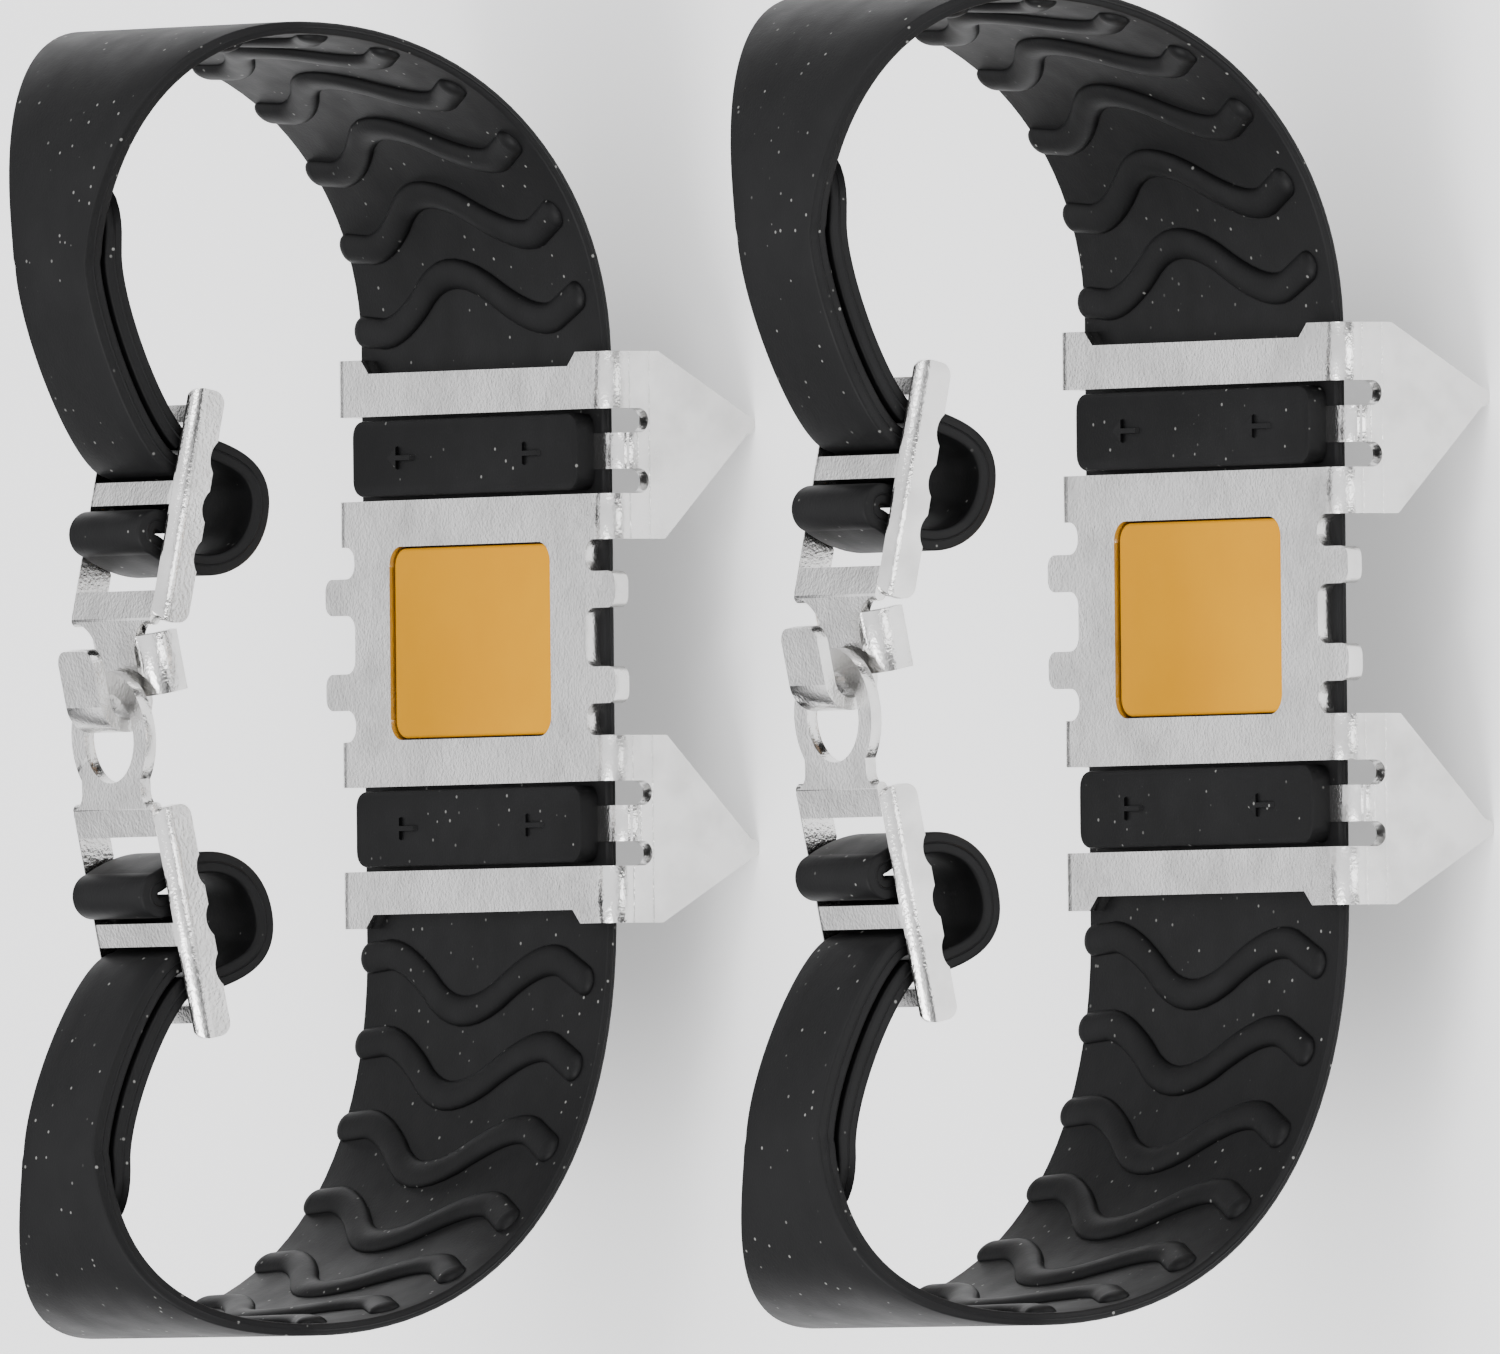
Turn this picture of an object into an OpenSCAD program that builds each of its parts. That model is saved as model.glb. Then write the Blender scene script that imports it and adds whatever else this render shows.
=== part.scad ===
/* [Spike plate] */
// Length of the centre plate, across the foot
centre_l = 35.2; // [30:0.1:44]
// Width of the plate over its bent legs, along the foot
plate_w = 61; // [52:0.5:74]
// Thickness of the plate's sheet
sheet_t = 2; // [1.6:0.1:2.4]
// Height of the plate's top above the spike tips
spike_h = 22; // [18:0.5:28]
// Width of the slots that the strap passes through
gap_w = 3; // [2.6:0.1:3.6]
// Width of each lowered middle bar
mid_bar_w = 4.4; // [3.6:0.1:5.4]
// Width of each end bar over its flared ends
end_bar_w = 7; // [6:0.1:8.5]
// How much narrower an end bar is between its flared ends
flare = 1.7; // [1:0.1:2]
// Outer radius of the bends into the legs
bend_r = 3; // [2.6:0.1:4]
// How far the middle bars lie below the top face
joggle = 1.9; // [1.5:0.1:2.2]
// Window in the centre plate, across the foot
window_l = 23.8; // [20:0.1:25]
// Window in the centre plate, along the foot
window_w = 35.5; // [28:0.5:40]
// Inner edge of each spike, from the middle
spike_in = 12; // [11:0.1:15]
// Distance of a spike's tip from its outer edge
tip_in = 9; // [7:0.1:11]
// Reach of the flat lugs beyond the notched edge
lug_reach = 6.5; // [4:0.1:7]

/* [Strap] */
// Clearance of the strap inside each of the plate's legs
strap_gap = 1.7; // [1.5:0.1:6.5]
// Width of the strap at the buckles
tail_w = 15.7; // [13:0.1:16.4]
// Thickness of the wide part
strap_t = 1.5; // [1.2:0.1:1.9]
// Thickness at the buckles
tail_t = 2.6; // [2.1:0.1:3]
// Reach of the hook-side lobe from the middle
reach_hook = 74.5; // [66:0.5:90]
// Reach of the eye-side lobe from the middle
reach_eye = 84.5; // [76:0.5:102]
// Height of the strap's loop above the plate's top
loop_h = 61.4; // [52:0.5:74]
// Height of the key blocks above the plate's top
key_rise = 0.7; // [0.3:0.1:1.4]
// Clearance of the key blocks in their openings
key_gap = 0.5; // [0.3:0.1:0.8]
// Gap between the tail and the strap that it lies under
tail_gap = 0.6; // [0.4:0.1:0.8]

/* [Pad] */
// Recess of the pad below the plate's top
pad_recess = 0.6; // [0.3:0.1:1]
// Clearance of the pad in the window
pad_gap = 0.2; // [0.1:0.05:0.4]

/* [Buckles] */
// Thickness of the buckles' sheet
buckle_t = 1.5; // [1.2:0.1:1.8]
// Clearance of the strap between a buckle's flanges
buckle_gap = 0.85; // [0.6:0.05:1.2]
// Depth of the flanges
flange_h = 4.6; // [4.2:0.1:6]
// Width of the crossbar that the strap bends around
crossbar_w = 2.9; // [2.4:0.1:3.4]
// Length of the opening that the strap's fold stands in
fold_gap = 10.8; // [10:0.1:13]
// Tilt of the buckles
tilt = 12; // [8:1:14]
// Width of the hook's neck and finger
hook_w = 7.7; // [6.4:0.1:8.4]
// Distance from the neck to the finger, sheet middle to middle
hook_step = 6.2; // [5.6:0.1:7.4]
// Length of the hook's finger beyond its bend
finger_l = 7; // [5.6:0.1:8.4]
// How much wider the eye's bore is than the hook
eye_gap = 3.3; // [2.9:0.1:4.7]
// Width of metal around the eye
eye_rim = 2.75; // [2.3:0.05:3.3]

/* [Pair] */
// Distance between the middles of the two units
pitch = 158; // [130:1:190]

/* [Hidden] */
$fn = 48;
eps = 0.01;

// Plate stations, from the middle outwards
centre_x = centre_l / 2;
mid_in = centre_x + gap_w;
mid_out = mid_in + mid_bar_w;
end_in = mid_out + gap_w;
end_out = end_in + end_bar_w;
notch_w = plate_w - 10;
slot_depth = 6.2;
shoulder_in = 8.5;
shoulder_out = 7.7;
tip_r = 1.2;
lug_in = 3.6;
lug_out = 8.1;
notch_r = 1.8;

// Strap
strap_w = plate_w - 2 * (sheet_t + strap_gap);
under_z = spike_h - sheet_t;
weave_z = under_z - strap_t / 2;
exit_x = end_out + 0.3;
lobe_w = strap_w / 2 - 2.6;
tail_hw = tail_w / 2;
extreme_z = spike_h + loop_h - 21.4;
top_z = spike_h + loop_h - tail_t / 2;
steps = 10;

// Buckle frame: its own x runs from the strap's end to the closure, z is outwards
buckle_hw = tail_hw + buckle_gap + buckle_t;
buckle_z = spike_h + loop_h - 14.1;
crossbar_x = 10.8;
fold_x = crossbar_x + crossbar_w / 2;
plate_x = fold_x + fold_gap;
bend_x = plate_x + 3.4;
neck_l = 9.5;
neck_bend = 24;
ring_bend = 9;
ring_x = 8.7;
eye_d = hook_w + eye_gap;
flange_end = -2.5;
inner_bar_w = 2.2;
inner_bar_x = -0.9;
shoulder_r = 2.2;
waist_hw = buckle_hw - 1.5 - shoulder_r;
closure_x = -9;
hook_x = closure_x + 37.6;
wrap_r = crossbar_w / 2 + tail_t / 2 + 0.8;
fold_r = tail_t / 2 + 0.25;
leg_x = crossbar_x + wrap_r + 2 * fold_r;
turn_z = -14;
loop_shift = (reach_eye - reach_hook) / 2;

// Points and curves
function bez(p, t) =
    let (s = 1 - t) s * s * s * p[0] + 3 * s * s * t * p[1] + 3 * s * t * t * p[2] + t * t * t * p[3];
function curve(p) = [for (i = [1 : steps]) bez(p, i / steps)];
function mix(a, b, t) = a + (b - a) * t;
function unit(v) = v / norm(v);
function heading(p, i) = unit(p[min(i + 1, len(p) - 1)] - p[max(i - 1, 0)]);
function square_to(d) = [-d[1], d[0]];
// A point of the buckle's frame, in the frame of the hook side
function at_buckle(x, z) =
    [hook_x - x * cos(tilt) + z * sin(tilt), buckle_z + x * sin(tilt) + z * cos(tilt)];
function along_buckle(pts) = [for (p = pts) at_buckle(p[0], p[1])];

// The strap's middle line on one side, from the plate to the buckle. The eye side's is mirrored
// about the plate's middle up to the lobe's end, and about the closure's middle from there.
function lobe(reach) =
    [[exit_x, weave_z], [reach - 17.5, weave_z], [reach, extreme_z - 26], [reach, extreme_z]];
function shoulder(reach, top_x) =
    [[reach, extreme_z], [reach, extreme_z + 14], [top_x + 15, top_z], [top_x, top_z]];
function entry(top_x) = let (bar = along_buckle([[crossbar_x - wrap_r, 3.5],
                                                 [crossbar_x - wrap_r, -buckle_t / 2]]))
    [[top_x, top_z], [top_x - 8, top_z], bar[0], bar[1]];
// Around the crossbar, out and back through the opening, and the inner turn
function wrap_points() = along_buckle([for (i = [1 : steps])
    [crossbar_x - wrap_r * cos(i * 180 / steps), -buckle_t / 2 - wrap_r * sin(i * 180 / steps)]]);
function fold_points() = along_buckle([for (i = [0 : steps])
    [leg_x - fold_r - fold_r * cos(i * 180 / steps), 0.4 + fold_r * sin(i * 180 / steps)]]);
function turn_points(end_x) = let (mid_x = (leg_x + end_x) / 2) along_buckle(concat(
    curve([[leg_x, 0.4], [leg_x + 3, -8], [mid_x + 6, turn_z], [mid_x, turn_z]]),
    curve([[mid_x, turn_z], [mid_x - 6, turn_z], [end_x, -9], [end_x, -buckle_t / 2]])));
// The tail lies under the stretch that comes in, at a constant gap
function tail_points(p, n) = [for (i = [len(p) - 2 : -1 : len(p) - n])
    p[i] + (tail_t + tail_gap) * square_to(heading(p, i))];

function half_line(reach, top_x, lift) = let (
    a = curve(lobe(reach)),
    b = curve(shoulder(reach, top_x)),
    c = curve(entry(top_x)),
    end_x = crossbar_x - wrap_r - tail_t - tail_gap)
    concat([[0, weave_z], [exit_x, weave_z]], a, b, c, wrap_points(), fold_points(),
           turn_points(end_x), tail_points(concat(b, c), lift));
first_taper = 1 + steps;
last_taper = first_taper + steps;
// Half-width and thickness of the strap at station i of n
function taper(i) = min(1, max(0, (i - first_taper) / steps));
function half_width(i, n) = let (
    wide = i < 2 ? strap_w / 2 : mix(strap_w / 2 - 1, lobe_w, min(1, (i - 1) / steps)),
    plain = i <= first_taper ? wide
          : i <= last_taper ? mix(lobe_w, tail_hw + 0.3, 1 - pow(1 - taper(i), 1.25))
          : tail_hw)
    i == n - 1 ? plain * 0.55 : i == n - 2 ? plain * 0.9 : plain;
function thickness(i) = mix(strap_t, tail_t, taper(i));

// One closed ribbon round a list of points in the XZ plane
function ribbon_rings(p, w, t) = [for (i = [0 : len(p) - 1]) let (n = square_to(heading(p, i)) * t[i] / 2)
    [[p[i][0] - n[0], -w[i], p[i][1] - n[1]], [p[i][0] - n[0], w[i], p[i][1] - n[1]],
     [p[i][0] + n[0], w[i], p[i][1] + n[1]], [p[i][0] + n[0], -w[i], p[i][1] + n[1]]]];
module ribbon(p, w, t) {
    last = 4 * (len(p) - 1);
    polyhedron(
        points = [for (ring = ribbon_rings(p, w, t)) each ring],
        faces = concat([[0, 1, 2, 3]], [[last + 3, last + 2, last + 1, last]],
                       [for (i = [0 : len(p) - 2]) for (k = [0 : 3])
                           [4 * i + k, 4 * i + 4 + k, 4 * i + 4 + (k + 1) % 4, 4 * i + (k + 1) % 4]]),
        convexity = 12);
}

// Flat shapes drawn in XZ, as wide as w along Y
module across(w) {
    rotate([90, 0, 0]) linear_extrude(w, center = true) children();
}
module both_ends() {
    children();
    mirror([1, 0, 0]) children();
}
module rounded(l, w, r) {
    square([l - 2 * r, w], center = true);
    square([l, w - 2 * r], center = true);
    for (x = [-1, 1], y = [-1, 1]) translate([x * (l / 2 - r), y * (w / 2 - r)]) circle(r);
}
// An arch with a flat top at y = 0 and round upper corners
module arch(w, h, r) {
    translate([-w / 2 + r, -h]) square([w - 2 * r, h]);
    translate([-w / 2, -h]) square([w, h - r]);
    for (x = [-1, 1]) translate([x * (w / 2 - r), -r]) circle(r);
}
// Bent sheet from x = a to b: a flat top and two legs
module channel(a, b, w, h, t, r) {
    translate([a, 0, 0]) rotate([90, 0, 90]) linear_extrude(b - a) difference() {
        arch(w, h, r);
        translate([0, -t]) arch(w - 2 * t, h, r - t);
    }
}

module spike_outline() {
    tip_x = end_out - tip_in;
    polygon([[spike_in, spike_h + 1], [spike_in, spike_h - shoulder_in], [tip_x - tip_r, tip_r],
             [tip_x + tip_r, tip_r], [end_out, spike_h - shoulder_out], [end_out, spike_h + 1]]);
    translate([tip_x, tip_r]) circle(tip_r);
}
module strap_slot(x) {
    across(plate_w + 2) {
        translate([x - gap_w / 2, spike_h - slot_depth + gap_w / 2]) square([gap_w, slot_depth]);
        translate([x, spike_h - slot_depth + gap_w / 2]) circle(gap_w / 2);
    }
}
module bar_trim() {
    half = plate_w / 2 - 8.5;
    translate([0, 0, under_z - 1]) linear_extrude(sheet_t + 2)
        polygon([[end_out - flare, -half], [end_out + 1, -half - flare - 1],
                 [end_out + 1, half + flare + 1], [end_out - flare, half]]);
}
module lug() {
    translate([0, 0, under_z]) linear_extrude(sheet_t) for (y = [-1, 1])
        translate([(lug_in + lug_out) / 2, y * (notch_w / 2 + lug_reach / 2 - 3)])
            rounded(lug_out - lug_in, lug_reach + 6, 1.5);
}
// The flat middle, with a round-bottomed notch on each side of every lug
module notched_edge() {
    w = notch_w + 2 * notch_r;
    depth = 2 * (notch_r + 1);
    translate([0, 0, under_z]) linear_extrude(sheet_t) difference() {
        square([2 * spike_in + 2, w], center = true);
        for (y = [-1, 1]) translate([0, y * (w / 2 + 1)]) {
            rounded(2 * lug_in, depth, notch_r);
            for (x = [-1, 1]) translate([x * (lug_out + spike_in) / 2, 0])
                rounded(spike_in - lug_out, depth, notch_r);
        }
    }
}
module spike_plate() {
    color("silver") difference() {
        union() {
            notched_edge();
            both_ends() {
                lug();
                intersection() {
                    translate([0, 0, spike_h])
                        channel(spike_in, end_out, plate_w, spike_h, sheet_t, bend_r);
                    across(plate_w + 2) spike_outline();
                }
            }
        }
        translate([0, 0, under_z - 1]) linear_extrude(sheet_t + 2) rounded(window_l, window_w, 2.5);
        both_ends() {
            strap_slot(centre_x + gap_w / 2);
            strap_slot(mid_out + gap_w / 2);
            bar_trim();
            translate([mid_in - eps, -plate_w / 2 - 1, spike_h - slot_depth + gap_w / 2])
                cube([mid_bar_w + 2 * eps, plate_w + 2, slot_depth]);
        }
    }
    color("silver") both_ends() intersection() {
        translate([0, 0, spike_h - joggle])
            channel(mid_in, mid_out, plate_w, slot_depth - joggle, sheet_t, bend_r);
        translate([0, -plate_w, 0]) cube([plate_w, 2 * plate_w, 2 * spike_h]);
    }
}

module sole_pad() {
    color("goldenrod") translate([0, 0, under_z])
        linear_extrude(sheet_t - pad_recess) rounded(window_l - 2 * pad_gap, window_w - 2 * pad_gap, 2.3);
}

module key_block() {
    l = mid_bar_w + 2 * gap_w - 2 * key_gap;
    translate([(mid_in + mid_out) / 2, 0, under_z - strap_t])
        linear_extrude(strap_t + sheet_t + key_rise) rounded(l, strap_w - 3.8, 2);
}
module strap() {
    upper = half_line(reach_hook, hook_x + 18.4, 14);
    lobe_only = half_line(reach_eye, hook_x, 14);
    far = half_line(reach_eye + 2 * closure_x, hook_x + 16.9, 14);
    lower = concat([for (i = [0 : first_taper]) [-lobe_only[i][0], lobe_only[i][1]]],
                   [for (i = [first_taper + 1 : len(far) - 1]) [2 * closure_x - far[i][0], far[i][1]]]);
    nu = len(upper);
    nl = len(lower);
    line = concat([for (i = [nl - 1 : -1 : 1]) lower[i]], upper);
    w = concat([for (i = [nl - 1 : -1 : 1]) half_width(i, nl)],
               [for (i = [0 : nu - 1]) half_width(i, nu)]);
    t = concat([for (i = [nl - 1 : -1 : 1]) thickness(i)], [for (i = [0 : nu - 1]) thickness(i)]);
    color("dimgray") difference() {
        union() {
            ribbon(line, w, t);
            both_ends() key_block();
        }
        both_ends() translate([mid_in - 0.1, -plate_w / 2, under_z - strap_t - 1])
            cube([mid_bar_w + 0.2, plate_w, strap_t + 1 + sheet_t - joggle]);
    }
}

// The part that both buckles share: flanges, crossbar, inner end bar and the closure's plate
module buckle_side() {
    translate([0, 0, -flange_h / 2]) across(2 * buckle_hw + 2) difference() {
        translate([(flange_end + bend_x) / 2, 0]) rounded(bend_x - flange_end, flange_h, 1.6);
        for (i = [0 : 2]) translate([5.5 + 6.2 * i, -flange_h / 2 - 2.3]) circle(3);
    }
}
module buckle_frame() {
    inner = 2 * (buckle_hw - buckle_t);
    difference() {
        intersection() {
            channel(flange_end, bend_x, 2 * buckle_hw, flange_h, buckle_t, buckle_t + 0.5);
            buckle_side();
        }
        translate([-5, -inner / 2, -flange_h - 1]) cube([5 + fold_x - crossbar_w, inner, flange_h + 2]);
        translate([fold_x, -inner / 2, -flange_h - 1]) cube([fold_gap, inner, flange_h + 2]);
    }
    translate([inner_bar_x, -buckle_hw + 0.5, -flange_h]) cube([inner_bar_w, 2 * buckle_hw - 1, buckle_t]);
    translate([plate_x, -buckle_hw + 1.5, -buckle_t]) cube([bend_x - plate_x, 2 * buckle_hw - 3, buckle_t]);
    translate([bend_x, 0, -buckle_t / 2]) rotate([90, 0, 0])
        cylinder(d = buckle_t, h = 2 * buckle_hw - 3, center = true);
}
// Moves what follows to the buckle's bend, with its middle plane on z = 0
module after_bend(angle) {
    translate([bend_x, 0, -buckle_t / 2]) rotate([0, angle, 0]) children();
}
module neck() {
    arc_r = buckle_hw - 1.5 - hook_w / 2;
    translate([0, 0, -buckle_t / 2]) linear_extrude(buckle_t) {
        difference() {
            translate([0, -buckle_hw + 1.5]) square([arc_r + eps, 2 * buckle_hw - 3]);
            for (y = [-1, 1]) translate([arc_r + eps, y * (buckle_hw - 1.5)]) circle(arc_r);
        }
        translate([0, -hook_w / 2]) square([neck_l + eps, hook_w]);
    }
}
module hook_curl() {
    r = hook_step / 2;
    across(hook_w) {
        intersection() {
            translate([neck_l, r]) difference() {
                circle(r + buckle_t / 2);
                circle(r - buckle_t / 2);
            }
            translate([neck_l, -buckle_t]) square([2 * r, 2 * r + 2 * buckle_t]);
        }
        translate([neck_l - finger_l + buckle_t, hook_step - buckle_t / 2])
            square([finger_l - buckle_t + eps, buckle_t]);
    }
    translate([neck_l - finger_l + 2, 0, hook_step - buckle_t / 2])
        linear_extrude(buckle_t) rounded(4, hook_w, 1.8);
}
module ear() {
    roll = 2.5;
    translate([2, hook_w / 2 - eps, 0]) rotate([90, 0, 90]) linear_extrude(neck_l - 2) {
        intersection() {
            translate([0, -roll]) difference() {
                circle(roll + buckle_t / 2);
                circle(roll - buckle_t / 2);
            }
            translate([0, -roll]) square([2 * roll, 2 * roll]);
        }
        translate([roll - buckle_t / 2, -roll - 1.4]) square([buckle_t, 1.4 + eps]);
    }
}
module hook_buckle() {
    color("gainsboro") translate([hook_x, 0, buckle_z]) mirror([1, 0, 0]) rotate([0, -tilt, 0]) {
        buckle_frame();
        after_bend(neck_bend) {
            neck();
            hook_curl();
            ear();
            mirror([0, 1, 0]) ear();
        }
    }
}
module eye_buckle() {
    outer = eye_d / 2 + eye_rim;
    color("gainsboro") translate([2 * closure_x - hook_x, 0, buckle_z]) rotate([0, -tilt, 0]) {
        buckle_frame();
        after_bend(ring_bend) translate([ring_x, 0, -buckle_t / 2]) difference() {
            union() {
                cylinder(r = outer, h = buckle_t);
                translate([-ring_x, -waist_hw, 0]) cube([ring_x, 2 * waist_hw, buckle_t]);
                difference() {
                    translate([-ring_x, -waist_hw - shoulder_r, 0])
                        cube([shoulder_r, 2 * (waist_hw + shoulder_r), buckle_t]);
                    for (y = [-1, 1]) translate([shoulder_r - ring_x, y * (waist_hw + shoulder_r), -1])
                        cylinder(r = shoulder_r, h = buckle_t + 2);
                }
            }
            translate([0, 0, -1]) cylinder(d = eye_d, h = buckle_t + 2);
        }
    }
}

// Each unit, with the middle of the strap's loop on the Y axis
module left_unit() {
    translate([loop_shift, pitch / 2, 0]) children();
}
module right_unit() {
    translate([loop_shift, -pitch / 2, 0]) children();
}

left_unit() strap();  // left_strap
left_unit() spike_plate();  // left_spike_plate
left_unit() sole_pad();  // left_sole_pad
left_unit() hook_buckle();  // left_hook_buckle
left_unit() eye_buckle();  // left_eye_buckle
right_unit() strap();  // right_strap
right_unit() spike_plate();  // right_spike_plate
right_unit() sole_pad();  // right_sole_pad
right_unit() hook_buckle();  // right_hook_buckle
right_unit() eye_buckle();  // right_eye_buckle
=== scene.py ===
"""A pair of slip-on ice spikes: steel plates, ribbed rubber straps and hook-and-eye buckles."""

import logging
import math
from dataclasses import dataclass, field
from enum import Enum
from functools import cache

import bmesh
import bpy
from mathutils import Matrix, Vector


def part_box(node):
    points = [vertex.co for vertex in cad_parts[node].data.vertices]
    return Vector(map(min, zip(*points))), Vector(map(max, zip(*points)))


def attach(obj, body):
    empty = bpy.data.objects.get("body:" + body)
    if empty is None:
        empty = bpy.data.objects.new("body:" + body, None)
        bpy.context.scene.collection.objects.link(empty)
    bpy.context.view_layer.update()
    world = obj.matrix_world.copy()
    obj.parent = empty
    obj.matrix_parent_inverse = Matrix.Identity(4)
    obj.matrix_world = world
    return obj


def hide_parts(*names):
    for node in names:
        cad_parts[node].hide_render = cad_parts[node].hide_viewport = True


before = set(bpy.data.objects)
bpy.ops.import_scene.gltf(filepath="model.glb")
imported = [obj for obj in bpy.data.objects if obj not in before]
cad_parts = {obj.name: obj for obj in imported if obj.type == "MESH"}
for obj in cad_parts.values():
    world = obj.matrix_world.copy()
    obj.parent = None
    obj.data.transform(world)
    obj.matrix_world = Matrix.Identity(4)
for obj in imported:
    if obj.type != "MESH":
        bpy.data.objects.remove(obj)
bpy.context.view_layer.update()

MM = 0.001
LOG = logging.getLogger("microspikes")
Point = tuple[float, float]


class Unit(Enum):
    """The two units of the pair, by the name that their nodes start with."""

    LEFT = "left"
    RIGHT = "right"

    def node(self, piece: str) -> str:
        """Returns the name of this unit's node for a piece."""
        return f"{self.value}_{piece}"

    @cache
    def middle(self) -> Vector:
        """Returns the point of the floor under the middle of this unit's plate."""
        low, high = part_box(self.node("spike_plate"))
        return Vector(((low[0] + high[0]) / 2, (low[1] + high[1]) / 2, 0.0))


class NodeBoard:
    """A material's node tree, with short calls to add and join nodes."""

    def __init__(self, name: str) -> None:
        """Starts a material.

        Args:
            name: The material's name.
        """
        self.material = bpy.data.materials.new(name)
        self.material.use_nodes = True
        self.tree = self.material.node_tree
        self.shader = self.tree.nodes["Principled BSDF"]
        self.place = self.add("ShaderNodeTexCoord").outputs["Object"]

    def add(self, kind: str, **values: object) -> bpy.types.Node:
        """Adds a node.

        Args:
            kind: The node's type name.
            **values: Properties of the node, or its inputs by their names with _ for spaces.

        Returns:
            The new node.
        """
        node = self.tree.nodes.new(kind)
        for key, value in values.items():
            if hasattr(node, key):
                setattr(node, key, value)
            else:
                node.inputs[key.replace("_", " ")].default_value = value
        return node

    def join(self, source: bpy.types.NodeSocket, target: bpy.types.NodeSocket) -> None:
        """Links one socket to another."""
        self.tree.links.new(source, target)

    def noise(self, scale: float, detail: float = 3.0) -> bpy.types.NodeSocket:
        """Returns the factor of a noise texture in the object's own metres."""
        node = self.add("ShaderNodeTexNoise", Scale=scale, Detail=detail)
        self.join(self.place, node.inputs["Vector"])
        return node.outputs["Fac"]

    def span(self, source: bpy.types.NodeSocket, old: Point, new: Point) -> bpy.types.NodeSocket:
        """Maps a value from one range to another, clamped."""
        node = self.add("ShaderNodeMapRange")
        for name, value in zip(("From Min", "From Max", "To Min", "To Max"), old + new):
            node.inputs[name].default_value = value
        self.join(source, node.inputs["Value"])
        return node.outputs["Result"]

    def blend(self, factor: bpy.types.NodeSocket, low: tuple, high: tuple) -> bpy.types.NodeSocket:
        """Returns a colour between two, by a factor."""
        node = self.add("ShaderNodeMix", data_type="RGBA")
        node.inputs[6].default_value = (*low, 1.0)
        node.inputs[7].default_value = (*high, 1.0)
        self.join(factor, node.inputs[0])
        return node.outputs[2]

    def bump(self, heights: list[tuple[bpy.types.NodeSocket, float]], distance: float) -> None:
        """Adds bumps to the shader.

        Args:
            heights: Each height's socket and its strength.
            distance: The depth of a full bump, in metres.
        """
        normal = None
        for height, strength in heights:
            node = self.add("ShaderNodeBump", Strength=strength, Distance=distance)
            self.join(height, node.inputs["Height"])
            if normal is not None:
                self.join(normal, node.inputs["Normal"])
            normal = node.outputs["Normal"]
        self.join(normal, self.shader.inputs["Normal"])

    def set(self, **values: float) -> None:
        """Sets constant values on the shader's own sockets."""
        for key, value in values.items():
            self.shader.inputs[key.replace("_", " ")].default_value = value


@dataclass(frozen=True)
class RubberFinish:
    """Matte moulded rubber with a trace of dust."""

    name: str = "strap_rubber"
    dark: tuple[float, float, float] = (0.0030, 0.0030, 0.0032)
    pale: tuple[float, float, float] = (0.0045, 0.0045, 0.0048)
    dust: tuple[float, float, float] = (0.20, 0.20, 0.19)
    dust_scale: float = 480.0
    dust_size: float = 0.115

    def build(self) -> bpy.types.Material:
        """Returns the material."""
        board = NodeBoard(self.name)
        cloudy = board.span(board.noise(60.0, 4.0), (0.35, 0.7), (0.0, 1.0))
        body = board.blend(cloudy, self.dark, self.pale)
        cells = board.add("ShaderNodeTexVoronoi", Scale=self.dust_scale)
        board.join(board.place, cells.inputs["Vector"])
        speck = board.span(cells.outputs["Distance"], (self.dust_size, self.dust_size * 0.6), (0.0, 1.0))
        patchy = board.span(board.noise(130.0, 2.0), (0.40, 0.54), (0.0, 0.9))
        both = board.add("ShaderNodeMath", operation="MULTIPLY")
        board.join(speck, both.inputs[0])
        board.join(patchy, both.inputs[1])
        mix = board.add("ShaderNodeMix", data_type="RGBA")
        mix.inputs[7].default_value = (*self.dust, 1.0)
        board.join(both.outputs[0], mix.inputs[0])
        board.join(body, mix.inputs[6])
        board.join(mix.outputs[2], board.shader.inputs["Base Color"])
        board.join(board.span(board.noise(220.0), (0.3, 0.7), (0.50, 0.58)), board.shader.inputs["Roughness"])
        board.bump([(board.noise(2600.0, 2.0), 0.18)], 0.00012)
        board.set(Specular_IOR_Level=0.17)
        return board.material


@dataclass(frozen=True)
class PlatingFinish:
    """Bright nickel plating over tumbled sheet steel."""

    name: str
    bright: tuple[float, float, float] = (0.66, 0.655, 0.645)
    dull: tuple[float, float, float] = (0.52, 0.515, 0.505)
    smooth: float = 0.14
    rough: float = 0.30
    scores: tuple[float, ...] = ()

    def build(self) -> bpy.types.Material:
        """Returns the material."""
        board = NodeBoard(self.name)
        mottled = board.span(board.noise(160.0, 6.0), (0.42, 0.72), (0.0, 1.0))
        board.join(board.blend(mottled, self.bright, self.dull), board.shader.inputs["Base Color"])
        worn = board.span(board.noise(75.0, 8.0), (0.32, 0.68), (self.smooth, self.rough))
        board.join(worn, board.shader.inputs["Roughness"])
        heights = [(board.noise(2300.0, 2.0), 0.30), (board.noise(500.0, 3.0), 0.16),
                   (board.noise(140.0, 3.0), 0.22)]
        heights += [(self.score_line(board, height), 0.4) for height in self.scores]
        board.bump(heights, 0.0002)
        board.set(Metallic=1.0)
        return board.material

    def score_line(self, board: NodeBoard, height: float) -> bpy.types.NodeSocket:
        """Returns a height map of a fine groove across the sheet, at a height above the floor."""
        place = board.add("ShaderNodeSeparateXYZ")
        away, size = (board.add("ShaderNodeMath", operation=way) for way in ("SUBTRACT", "ABSOLUTE"))
        away.inputs[1].default_value = height
        board.join(board.place, place.inputs[0])
        board.join(place.outputs["Z"], away.inputs[0])
        board.join(away.outputs[0], size.inputs[0])
        return board.span(size.outputs[0], (0.0, 0.00025), (0.0, 1.0))


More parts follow.
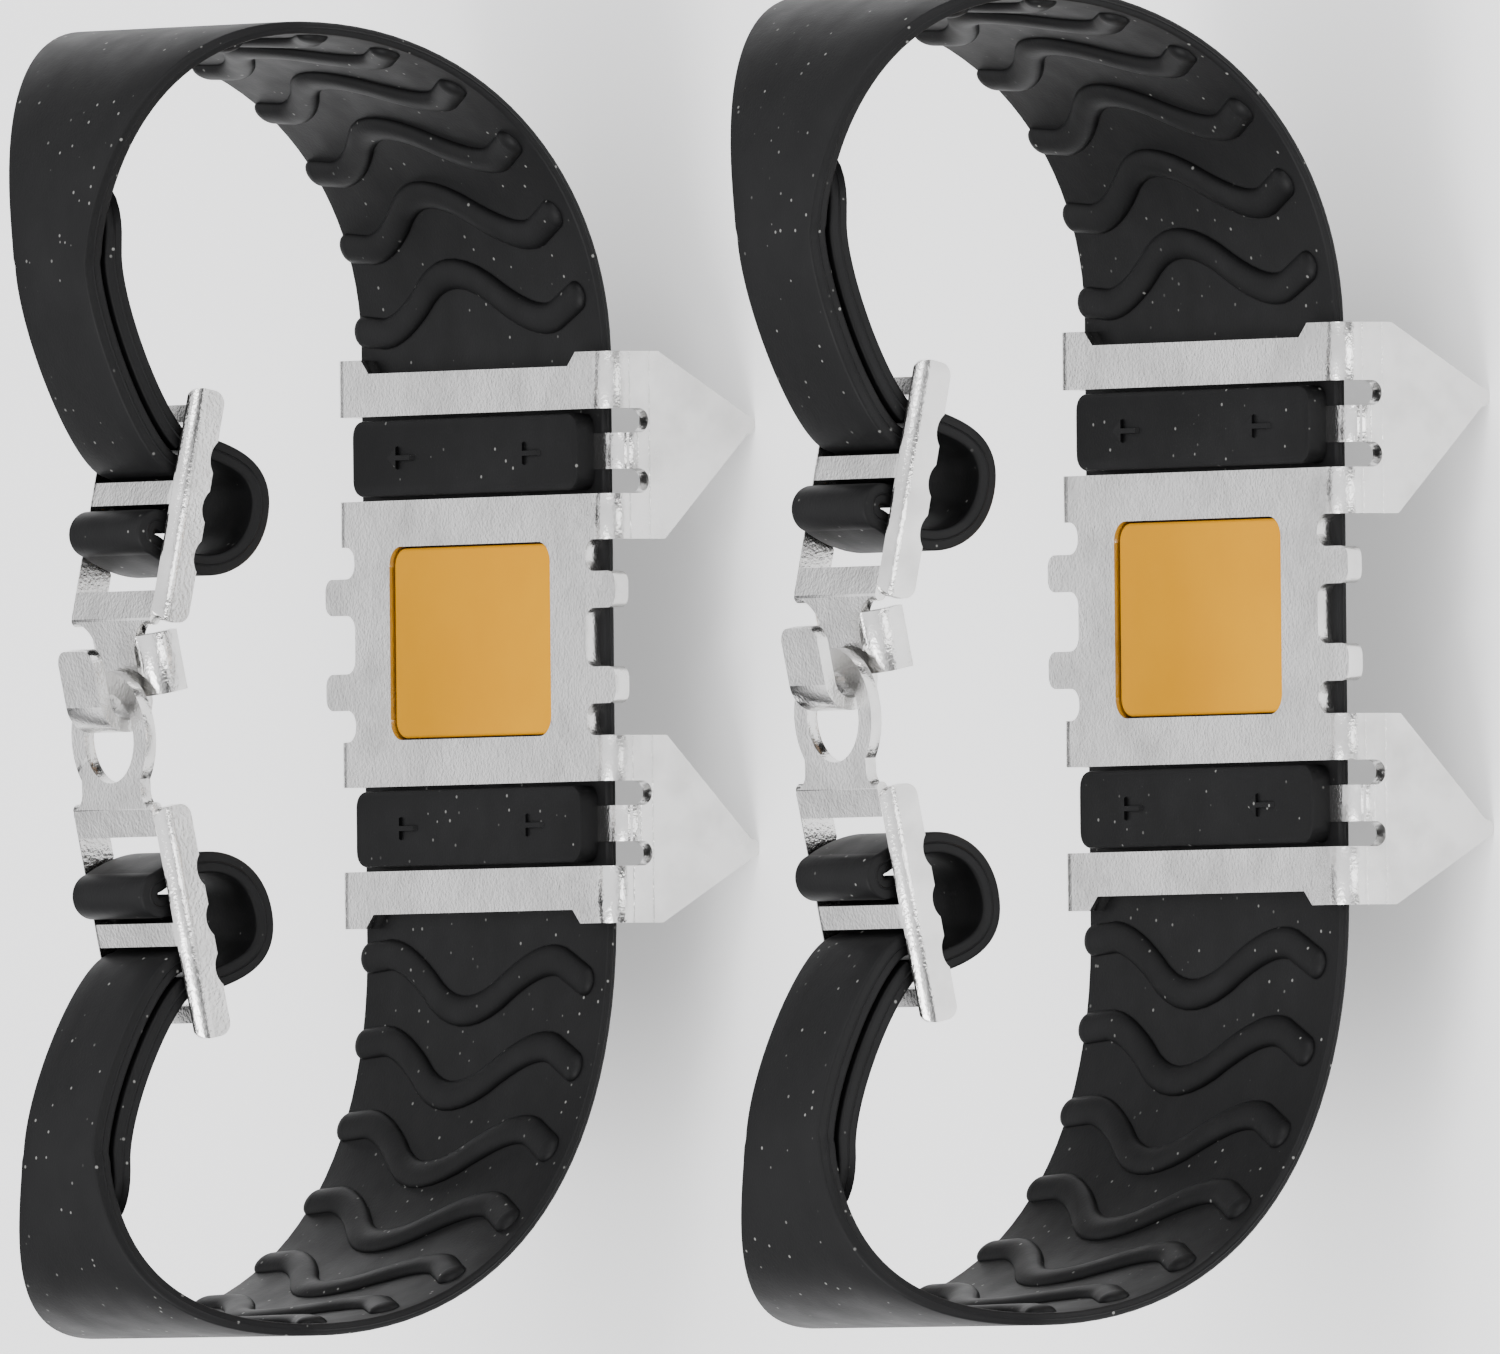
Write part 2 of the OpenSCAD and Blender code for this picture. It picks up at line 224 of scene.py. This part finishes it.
@dataclass(frozen=True)
class PadFinish:
    """Satin yellow-orange elastomer."""

    name: str = "pad_rubber"
    deep: tuple[float, float, float] = (0.62, 0.265, 0.001)
    light: tuple[float, float, float] = (0.65, 0.285, 0.001)

    def build(self) -> bpy.types.Material:
        """Returns the material."""
        board = NodeBoard(self.name)
        cloudy = board.span(board.noise(70.0, 3.0), (0.35, 0.65), (0.0, 1.0))
        board.join(board.blend(cloudy, self.deep, self.light), board.shader.inputs["Base Color"])
        board.join(board.span(board.noise(400.0), (0.3, 0.7), (0.42, 0.52)), board.shader.inputs["Roughness"])
        board.bump([(board.noise(1800.0, 2.0), 0.15)], 0.0001)
        board.set(Specular_IOR_Level=0.04)
        return board.material


@dataclass
class Station:
    """One place along the strap: its middle, heading, half-width and thickness, in millimetres."""

    middle: Vector
    heading: Vector
    half_width: float
    thickness: float
    travel: float

    @property
    def inward(self) -> Vector:
        """The direction towards the foot, in the plane of the loop."""
        return Vector((-self.heading.y, self.heading.x))


def bezier(points: list[Vector], t: float) -> Vector:
    """Returns the point at t of a cubic curve through four control points."""
    s = 1.0 - t
    return (points[0] * s**3 + points[1] * (3 * s * s * t)
            + points[2] * (3 * s * t * t) + points[3] * t**3)


def mix(a: float, b: float, t: float) -> float:
    """Returns the value between a and b at t."""
    return a + (b - a) * t


def rounded_line(points: list[Vector], passes: int) -> list[Vector]:
    """Returns a line with its corners cut a number of times, so that it bends smoothly."""
    for _ in range(passes):
        cut = [points[0]]
        for a, b in zip(points, points[1:]):
            cut += [a.lerp(b, 0.25), a.lerp(b, 0.75)]
        points = cut + [points[-1]]
    return points


@dataclass
class StrapRoute:
    """The strap's middle line on one side of the plate, with its widths."""

    reach: float
    top_x: float
    plate_top: float = 22.0
    loop_h: float = 61.4
    strap_w: float = 53.6
    tail_w: float = 15.7
    strap_t: float = 1.5
    tail_t: float = 2.6
    tail_gap: float = 0.6
    exit_x: float = 35.3
    tilt: float = math.radians(12)
    hook_x: float = 28.6
    crossbar_x: float = 10.8
    wrap_r: float = 3.55
    fold_r: float = 1.55
    half_sheet: float = 0.75
    turn_z: float = -14.0
    steps: int = 28
    tail_steps: float = 1.35

    def at_buckle(self, x: float, z: float) -> Vector:
        """Returns a point of the buckle's tilted frame."""
        height = self.plate_top + self.loop_h - 14.1
        return Vector((self.hook_x - x * math.cos(self.tilt) + z * math.sin(self.tilt),
                       height + x * math.sin(self.tilt) + z * math.cos(self.tilt)))

    def curve(self, *points: Point) -> list[Vector]:
        """Returns points along a cubic curve, without its first."""
        control = [Vector(p) for p in points]
        return [bezier(control, i / self.steps) for i in range(1, self.steps + 1)]

    def arc(self, x: float, z: float, radius: float, way: int) -> list[Vector]:
        """Returns half a turn in the buckle's frame, from low x to high x."""
        turns = [math.pi * i / self.steps for i in range(1, self.steps + 1)]
        return [self.at_buckle(x - radius * math.cos(a), z + way * radius * math.sin(a)) for a in turns]

    def middles(self) -> tuple[list[Vector], int, int]:
        """Returns the line's points, and the first and last of those where the strap tapers."""
        flat_z = self.plate_top - 2.0 - self.strap_t / 2
        top_z = self.plate_top + self.loop_h - self.tail_t / 2
        side_z = self.plate_top + self.loop_h - 21.4
        x, sheet = self.top_x, self.half_sheet
        flat = [Vector((self.exit_x * i / 8, flat_z)) for i in range(9)]
        lobe = self.curve((self.exit_x, flat_z), (self.reach - 17.5, flat_z),
                          (self.reach, side_z - 26), (self.reach, side_z))
        shoulder = self.curve((self.reach, side_z), (self.reach, side_z + 14), (x + 15, top_z), (x, top_z))
        bar = self.crossbar_x - self.wrap_r
        entry = self.curve((x, top_z), (x - 8, top_z), self.at_buckle(bar, 3.5), self.at_buckle(bar, -sheet))
        leg = self.crossbar_x + self.wrap_r + 2 * self.fold_r
        wrap = self.arc(self.crossbar_x, -sheet, self.wrap_r, -1)
        fold = self.arc(leg - self.fold_r, 0.4, self.fold_r, 1)
        end = bar - self.tail_t - self.tail_gap
        mid = (leg + end) / 2
        turn = self.curve(self.at_buckle(leg, 0.4), self.at_buckle(leg + 3, -8),
                          self.at_buckle(mid + 6, self.turn_z), self.at_buckle(mid, self.turn_z))
        turn += self.curve(self.at_buckle(mid, self.turn_z), self.at_buckle(mid - 6, self.turn_z),
                           self.at_buckle(end, -9), self.at_buckle(end, -sheet))
        above = shoulder + entry
        tail = []
        for i in range(len(above) - 2, len(above) - int(self.tail_steps * self.steps), -1):
            way = (above[i + 1] - above[i - 1]).normalized()
            tail.append(above[i] + (self.tail_t + self.tail_gap) * Vector((-way.y, way.x)))
        first = len(flat) + len(lobe) - 1
        return flat + lobe + shoulder + entry + wrap + fold + turn + tail, first, first + self.steps

    def stations(self) -> list[Station]:
        """Returns the stations from the plate's middle to the tail's rounded end."""
        points, first, last = self.middles()
        travels = [0.0]
        for a, b in zip(points, points[1:]):
            travels.append(travels[-1] + (b - a).length)
        wide, lobe, narrow = self.strap_w / 2, self.strap_w / 2 - 2.6, self.tail_w / 2
        result = []
        for i, point in enumerate(points):
            way = (points[min(i + 1, len(points) - 1)] - points[max(i - 1, 0)]).normalized()
            taper = min(1.0, max(0.0, (i - first) / (last - first)))
            if i <= first:
                width = mix(wide, lobe, min(1.0, max(0.0, (i - 8) / (first - 8))))
            elif i <= last:
                width = mix(lobe, narrow + 0.3, 1 - (1 - taper) ** 1.25)
            else:
                width = narrow
            left = travels[-1] - travels[i]
            if left < narrow:
                width = narrow * math.sqrt(max(0.004, 1 - (1 - left / narrow) ** 2))
            result.append(Station(point, way, width, mix(self.strap_t, self.tail_t, taper), travels[i]))
        return result


@dataclass
class Strap:
    """One unit's moulded strap: its band, ribs, key blocks and embossed arrows."""

    unit: Unit
    rubber: bpy.types.Material
    reach_hook: float = 74.5
    reach_eye: float = 84.5
    closure_x: float = -9.0
    edge_r: float = 0.45
    seam: float = 0.14
    seam_half: float = 0.16
    rib_count: int = 7
    rib_pitch: float = 10.8
    rib_start: float = 38.6
    zigzag: tuple[Point, ...] = ((-0.95, 0.0), (-0.66, -0.6), (-0.17, 9.4), (0.50, -0.6), (0.83, 3.4))
    key_x: Point = (18.1, 27.5)
    key_half: float = 24.9
    key_top: float = 22.7
    arrow_y: float = 14.0
    arrow_sink: float = 0.1
    arrow_rise: float = 0.40
    arrow_draft: float = 0.86
    hook_side: list[Station] = field(default_factory=list)
    eye_side: list[Station] = field(default_factory=list)

    def __post_init__(self) -> None:
        """Works out both sides' stations."""
        self.hook_side = StrapRoute(self.reach_hook, 47.0).stations()
        mirrored = StrapRoute(self.reach_eye + 2 * self.closure_x, 45.5).stations()
        whole = StrapRoute(self.reach_eye, 45.5)
        lobe_end = whole.middles()[1]
        beyond = Vector((2 * self.closure_x, 0.0))
        middles = [s.middle for s in whole.stations()[:lobe_end + 1]]
        middles += [s.middle - beyond for s in mirrored[lobe_end + 1:]]
        travel = 0.0
        self.eye_side = []
        for i, station in enumerate(mirrored):
            ahead, behind = middles[min(i + 1, len(middles) - 1)], middles[max(i - 1, 0)]
            travel += (middles[i] - behind).length
            self.eye_side.append(Station(middles[i], (ahead - behind).normalized(), station.half_width,
                                         station.thickness, travel))

    def world(self, x: float, y: float, z: float) -> Vector:
        """Returns a point of the unit's frame, given in millimetres, in the row's frame in metres."""
        return self.unit.middle() + Vector((x, y, z)) * MM

    def on_face(self, side: int, travel: float, y: float, rise: float) -> Vector:
        """Returns a point on the strap's inner face.

        Args:
            side: 1 for the hook's side, -1 for the eye's.
            travel: The distance along the strap from the plate's middle.
            y: The place across, as a share of the half-width.
            rise: The height above the face.
        """
        row = self.hook_side if side > 0 else self.eye_side
        i = next(k for k in range(1, len(row)) if row[k].travel >= travel)
        t = (travel - row[i - 1].travel) / (row[i].travel - row[i - 1].travel)
        middle = row[i - 1].middle.lerp(row[i].middle, t)
        inward = row[i - 1].inward.lerp(row[i].inward, t).normalized()
        width = mix(row[i - 1].half_width, row[i].half_width, t)
        point = middle + inward * (row[i].thickness / 2 + rise)
        return self.world(side * point.x, y * width, point.y)

    def section(self, half_width: float, thickness: float) -> list[Point]:
        """Returns the band's outline across: rounded edges with a raised mould seam at each side."""
        r, h = min(self.edge_r, half_width * 0.4), thickness / 2
        right = []
        for k in range(4):
            a = -math.pi / 2 + k * math.pi / 6
            right.append((half_width - r + r * math.cos(a), -h + r + r * math.sin(a)))
        right += [(half_width, -self.seam_half), (half_width + self.seam, 0.0), (half_width, self.seam_half)]
        right += [(y, -n) for y, n in reversed(right[:4])]
        across = [i / 4 for i in range(1, 4)]
        inner = [(mix(half_width - r, -half_width + r, t), h) for t in across]
        left = [(-y, n) for y, n in reversed(right)]
        outer = [(-y, -n) for y, n in inner]
        return right + inner + left + outer

    def band(self, bm: bmesh.types.BMesh) -> None:
        """Adds the band, from the eye side's tail to the hook side's."""
        rows = [(s, -1) for s in reversed(self.eye_side[1:])] + [(s, 1) for s in self.hook_side]
        rings = []
        for station, side in rows:
            middle = Vector((side * station.middle.x, station.middle.y))
            inward = Vector((side * station.inward.x, station.inward.y))
            ring = []
            for y, n in self.section(station.half_width, station.thickness):
                ring.append(bm.verts.new(self.world(middle.x + inward.x * n, y, middle.y + inward.y * n)))
            rings.append(ring)
        for a, b in zip(rings, rings[1:]):
            for k in range(len(a)):
                m = (k + 1) % len(a)
                bm.faces.new((a[k], a[m], b[m], b[k]))
        bm.faces.new(rings[0][::-1])
        bm.faces.new(rings[-1])

    def block(self, bm: bmesh.types.BMesh, side: int) -> None:
        """Adds a key block, with rounded corners and edges."""
        low, high = self.key_x
        corner, levels = 2.0, ((18.7, 0.0), (self.key_top - 0.5, 0.0), (self.key_top - 0.15, 0.15),
                               (self.key_top, 0.5))
        rings = []
        for z, inset in levels:
            ring = []
            for cx, cy, start in ((high, 1, 0), (low, 1, 90), (low, -1, 180), (high, -1, 270)):
                for k in range(6):
                    a = math.radians(start + k * 18)
                    r = corner - inset
                    x = cx - (corner if cx == high else -corner) + r * math.cos(a)
                    y = cy * (self.key_half - corner) + r * math.sin(a)
                    ring.append(bm.verts.new(self.world(side * x, y, z)))
            rings.append(ring)
        for a, b in zip(rings, rings[1:]):
            for k in range(len(a)):
                m = (k + 1) % len(a)
                bm.faces.new((a[k], a[m], b[m], b[k]))
        bm.faces.new(rings[0][::-1])
        bm.faces.new(rings[-1])

    def arrow(self, bm: bmesh.types.BMesh, side: int, y: float) -> None:
        """Adds a small embossed arrow on a key block, pointing along the foot."""
        outline = ((-3.0, -0.35), (0.6, -0.35), (0.6, -1.5), (2.8, 0.0),
                   (0.6, 1.5), (0.6, 0.35), (-3.0, 0.35))
        middle = sum(self.key_x) / 2
        rings = []
        for rise, shrink in ((-self.arrow_sink, 1.0), (self.arrow_rise, self.arrow_draft)):
            rings.append([bm.verts.new(self.world(side * (middle + v * shrink), y + u * shrink,
                                                  self.key_top + rise)) for u, v in outline])
        for k in range(len(outline)):
            m = (k + 1) % len(outline)
            bm.faces.new((rings[0][k], rings[0][m], rings[1][m], rings[1][k]))
        bm.faces.new(rings[1])
        bm.faces.new(rings[0][::-1])

    def rib_lines(self) -> bpy.types.Object:
        """Returns an object of the ribs' middle lines, as loose edges on the inner face."""
        mesh = bpy.data.meshes.new("rib_lines")
        points, edges, inward = [], [], []
        path = rounded_line([Vector(p) for p in self.zigzag], 3)
        for side in (1, -1):
            for k in range(self.rib_count):
                travel = self.rib_start + k * self.rib_pitch
                start = len(points)
                for spot in path:
                    points.append(self.on_face(side, travel + spot.y, -spot.x, 0.0))
                    above = self.on_face(side, travel + spot.y, -spot.x, 1.0)
                    inward.extend((above - points[-1]).normalized())
                edges += [(i, i + 1) for i in range(start, len(points) - 1)]
        mesh.from_pydata(points, edges, [])
        mesh.attributes.new("inward", "FLOAT_VECTOR", "POINT").data.foreach_set("vector", inward)
        lines = bpy.data.objects.new("rib_lines", mesh)
        bpy.context.collection.objects.link(lines)
        return lines

    def build(self) -> None:
        """Makes the band with its blocks and arrows, and the ribs, and sets them on the unit."""
        bm = bmesh.new()
        self.band(bm)
        for side in (1, -1):
            self.block(bm, side)
            for y in (-self.arrow_y, self.arrow_y):
                self.arrow(bm, side, y)
        bmesh.ops.recalc_face_normals(bm, faces=bm.faces)
        band = finish_mesh(bm, self.unit.node("strap_band"), self.rubber, 40)
        ribs = RibTree(self.rubber).apply(self.rib_lines(), self.unit.node("strap_ribs"))
        for piece in (band, ribs):
            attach(piece, self.unit.node("base"))
            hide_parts(self.unit.node("strap"))
            LOG.info("%s: %d faces", piece.name, len(piece.data.polygons))


@dataclass
class RibTree:
    """Geometry nodes that turn loose edges into low, wide ribs with round ends."""

    material: bpy.types.Material
    half_width: float = 1.95
    height: float = 1.0

    def tree(self) -> tuple[bpy.types.GeometryNodeTree, dict[str, str]]:
        """Returns the node group and the identifier of each of its sizes."""
        group = bpy.data.node_groups.new("wide_ribs", "GeometryNodeTree")
        group.interface.new_socket("Geometry", in_out="INPUT", socket_type="NodeSocketGeometry")
        sizes = {}
        for name in ("Half Width", "Height"):
            socket = group.interface.new_socket(name, in_out="INPUT", socket_type="NodeSocketFloat")
            sizes[name] = socket.identifier
        group.interface.new_socket("Geometry", in_out="OUTPUT", socket_type="NodeSocketGeometry")

        def add(kind: str, **values: object) -> bpy.types.Node:
            """Adds a node with its properties."""
            node = group.nodes.new(kind)
            for key, value in values.items():
                setattr(node, key, value)
            return node

        link = group.links.new
        given, made = add("NodeGroupInput"), add("NodeGroupOutput")
        line = add("GeometryNodeMeshToCurve")
        facing = add("GeometryNodeInputNamedAttribute", data_type="FLOAT_VECTOR")
        facing.inputs["Name"].default_value = "inward"
        turned = add("GeometryNodeSetCurveNormal", mode="FREE")
        link(given.outputs["Geometry"], line.inputs["Mesh"])
        link(line.outputs["Curve"], turned.inputs["Curve"])
        link(facing.outputs["Attribute"], turned.inputs["Normal"])

        circle, oval = add("GeometryNodeCurvePrimitiveCircle"), add("GeometryNodeTransform")
        tube, flat = add("GeometryNodeCurveToMesh"), add("ShaderNodeCombineXYZ")
        circle.inputs["Resolution"].default_value = 20
        circle.inputs["Radius"].default_value = 1.0
        flat.inputs["Z"].default_value = 1.0
        link(given.outputs["Height"], flat.inputs["X"])
        link(given.outputs["Half Width"], flat.inputs["Y"])
        link(circle.outputs["Curve"], oval.inputs["Geometry"])
        link(flat.outputs["Vector"], oval.inputs["Scale"])
        tube.inputs["Fill Caps"].default_value = True
        link(turned.outputs["Curve"], tube.inputs["Curve"])
        link(oval.outputs["Geometry"], tube.inputs["Profile Curve"])

        ends, ball = add("GeometryNodeCurveEndpointSelection"), add("GeometryNodeMeshUVSphere")
        spots, turn = add("GeometryNodeInstanceOnPoints"), add("FunctionNodeAlignRotationToVector", axis="Z")
        scale = add("ShaderNodeCombineXYZ")
        ball.inputs["Radius"].default_value = 1.0
        for name, size in (("X", "Half Width"), ("Y", "Half Width"), ("Z", "Height")):
            link(given.outputs[size], scale.inputs[name])
        link(facing.outputs["Attribute"], turn.inputs["Vector"])
        link(turned.outputs["Curve"], spots.inputs["Points"])
        link(ends.outputs["Selection"], spots.inputs["Selection"])
        link(ball.outputs["Mesh"], spots.inputs["Instance"])
        link(turn.outputs["Rotation"], spots.inputs["Rotation"])
        link(scale.outputs["Vector"], spots.inputs["Scale"])

        joined, smooth = add("GeometryNodeJoinGeometry"), add("GeometryNodeSetShadeSmooth")
        real, dressed = add("GeometryNodeRealizeInstances"), add("GeometryNodeSetMaterial")
        dressed.inputs["Material"].default_value = self.material
        link(tube.outputs["Mesh"], joined.inputs["Geometry"])
        link(spots.outputs["Instances"], joined.inputs["Geometry"])
        link(joined.outputs["Geometry"], smooth.inputs["Geometry"])
        link(smooth.outputs["Geometry"], real.inputs["Geometry"])
        link(real.outputs["Geometry"], dressed.inputs["Geometry"])
        link(dressed.outputs["Geometry"], made.inputs["Geometry"])
        return group, sizes

    def apply(self, lines: bpy.types.Object, name: str) -> bpy.types.Object:
        """Returns a plain mesh object of the ribs, and removes the lines.

        Args:
            lines: An object of loose edges, with its inward directions as an attribute.
            name: The new piece's name.
        """
        group, sizes = self.tree()
        modifier = lines.modifiers.new("ribs", "NODES")
        modifier.node_group = group
        modifier[sizes["Half Width"]] = self.half_width * MM
        modifier[sizes["Height"]] = self.height * MM
        graph = bpy.context.evaluated_depsgraph_get()
        mesh = bpy.data.meshes.new_from_object(lines.evaluated_get(graph))
        bpy.data.objects.remove(lines)
        piece = bpy.data.objects.new(name, mesh)
        bpy.context.collection.objects.link(piece)
        return piece


def finish_mesh(bm: bmesh.types.BMesh, name: str, material: bpy.types.Material,
                sharp: float) -> bpy.types.Object:
    """Turns a bmesh into a smooth-shaded object with one material.

    Args:
        bm: The mesh being edited, which is freed.
        name: The piece's name.
        material: Its material.
        sharp: The angle in degrees past which an edge stays sharp.

    Returns:
        The new object, linked to the scene.
    """
    mesh = bpy.data.meshes.new(name)
    bm.to_mesh(mesh)
    bm.free()
    mesh.materials.append(material)
    mesh.shade_smooth()
    mesh.set_sharp_from_angle(angle=math.radians(sharp))
    piece = bpy.data.objects.new(name, mesh)
    bpy.context.collection.objects.link(piece)
    return piece


@dataclass
class PressedPiece:
    """A CAD node's own shape with its edges broken, as a pressing or a moulding has them."""

    unit: Unit
    node: str
    body: str
    slot: str
    material: bpy.types.Material
    edge: float = 0.22
    corner: float = 32.0
    flat_area: float = 15e-6

    def build(self) -> bpy.types.Object:
        """Returns the piece, riding on its body in place of the CAD node."""
        name = self.unit.node(self.node)
        bm = bmesh.new()
        bm.from_mesh(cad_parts[name].data)
        bmesh.ops.remove_doubles(bm, verts=bm.verts, dist=2e-6)
        bmesh.ops.dissolve_limit(bm, angle_limit=math.radians(0.6), verts=bm.verts, edges=bm.edges)
        sharp = [e for e in bm.edges
                 if len(e.link_faces) == 2 and e.calc_face_angle(0.0) > math.radians(self.corner)]
        bmesh.ops.bevel(bm, geom=sharp, offset=self.edge * MM, segments=2, profile=0.5,
                        affect="EDGES", clamp_overlap=True)
        piece = finish_mesh(bm, f"{name}_finished", self.material, 30)
        for face in piece.data.polygons:
            face.use_smooth = face.area < self.flat_area
        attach(piece, self.unit.node(self.body))
        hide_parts(name)
        LOG.info("%s: %d faces", piece.name, len(piece.data.polygons))
        return piece


@dataclass
class Studio:
    """The floor, the soft lights and the camera."""

    elevation: float = math.radians(34)
    azimuth: float = math.radians(1.0)
    distance: float = 7.0
    view_width: float = 182.4818
    sensor: float = 36.0
    aim_right: float = 9.79319
    aim_up: float = 5.77859
    floor_size: float = 6.0
    floor_glow: float = 0.38
    floor_dark: tuple[float, float, float] = (0.93, 0.93, 0.93)
    floor_pale: tuple[float, float, float] = (0.94, 0.94, 0.94)
    sky_strength: float = 1.9
    sky_tones: tuple[Point, ...] = ((0.0, 0.02), (1.0, 1.0), (0.12, 0.03), (0.26, 0.22),
                                    (0.45, 0.45), (0.58, 0.90), (0.80, 1.0))

    def axes(self) -> Matrix:
        """Returns the camera's axes: its up is across the foot, towards the hook's side."""
        turn = Vector((math.sin(self.azimuth), math.cos(self.azimuth), 0.0))
        up = Vector((turn.y, -turn.x, 0.0))
        back = -math.cos(self.elevation) * turn + Vector((0.0, 0.0, math.sin(self.elevation)))
        right = up.cross(back)
        return Matrix((right, up, back)).transposed()

    def camera(self) -> None:
        """Makes the camera and gives it to the scene."""
        axes = self.axes()
        plates = [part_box(unit.node("spike_plate")) for unit in Unit]
        aim = Vector(((plates[0][0][0] + plates[0][1][0]) / 2, 0.0, plates[0][1][2]))
        aim -= axes @ Vector((self.aim_right, self.aim_up, 0.0)) * MM
        data = bpy.data.cameras.new("camera")
        data.sensor_width = self.sensor
        data.lens = self.sensor * self.distance / (self.view_width * MM)
        data.clip_end = 100.0
        camera = bpy.data.objects.new("camera", data)
        camera.matrix_world = (Matrix.Translation(aim + axes.col[2] * self.distance)
                               @ axes.to_4x4())
        bpy.context.collection.objects.link(camera)
        bpy.context.scene.camera = camera

    def floor(self) -> None:
        """Makes the pale floor."""
        bm = bmesh.new()
        bmesh.ops.create_grid(bm, x_segments=2, y_segments=2, size=self.floor_size)
        board = NodeBoard("floor_paper")
        tone = board.span(board.noise(3.0, 2.0), (0.3, 0.7), (0.0, 1.0))
        colour = board.blend(tone, self.floor_dark, self.floor_pale)
        board.join(colour, board.shader.inputs["Base Color"])
        board.set(Roughness=0.9, Emission_Strength=self.floor_glow)
        finish_mesh(bm, "floor", board.material, 30)

    def light(self, name: str, place: tuple, size: float, power: float) -> None:
        """Adds a square soft light that faces the object."""
        data = bpy.data.lights.new(name, "AREA")
        data.size = size
        data.energy = power
        lamp = bpy.data.objects.new(name, data)
        lamp.location = place
        lamp.rotation_euler = (-Vector(place)).to_track_quat("-Z", "Y").to_euler()
        bpy.context.collection.objects.link(lamp)

    def build(self) -> None:
        """Sets the whole studio."""
        self.camera()
        self.floor()
        world = bpy.data.worlds.new("studio")
        world.use_nodes = True
        tree, sky = world.node_tree, world.node_tree.nodes["Background"]
        height, ramp = tree.nodes.new("ShaderNodeSeparateXYZ"), tree.nodes.new("ShaderNodeValToRGB")
        tree.links.new(tree.nodes.new("ShaderNodeTexCoord").outputs["Generated"], height.inputs[0])
        tree.links.new(height.outputs["Z"], ramp.inputs["Fac"])
        tree.links.new(ramp.outputs["Color"], sky.inputs["Color"])
        ramp.color_ramp.interpolation = "EASE"
        for k, (at, tone) in enumerate(self.sky_tones):
            stop = ramp.color_ramp.elements[k] if k < 2 else ramp.color_ramp.elements.new(at)
            stop.position = at
            stop.color = (tone, tone, tone * 1.02, 1.0)
        sky.inputs["Strength"].default_value = self.sky_strength
        bpy.context.scene.world = world
        self.light("key", (-0.8, -0.3, 1.2), 0.7, 14.0)
        self.light("fill", (0.9, -0.5, 1.0), 0.5, 6.0)
        self.light("front", (0.0, -1.3, 0.35), 0.5, 5.0)


def main() -> None:
    """Builds the studio and both units."""
    logging.basicConfig(level=logging.INFO, format="%(name)s %(message)s")
    Studio().build()
    rubber = RubberFinish().build()
    plate = PlatingFinish("spike_steel", scores=(0.0187, 0.0158)).build()
    buckle = PlatingFinish("buckle_steel", smooth=0.12, rough=0.28).build()
    pad = PadFinish().build()
    for unit in Unit:
        Strap(unit, rubber).build()
        PressedPiece(unit, "spike_plate", "base", "spike_steel", plate).build()
        PressedPiece(unit, "sole_pad", "base", "pad_rubber", pad, edge=0.3).build()
        PressedPiece(unit, "hook_buckle", "hook", "buckle_steel", buckle, edge=0.2).build()
        PressedPiece(unit, "eye_buckle", "eye", "buckle_steel", buckle, edge=0.2).build()


if __name__ == "__main__":
    main()
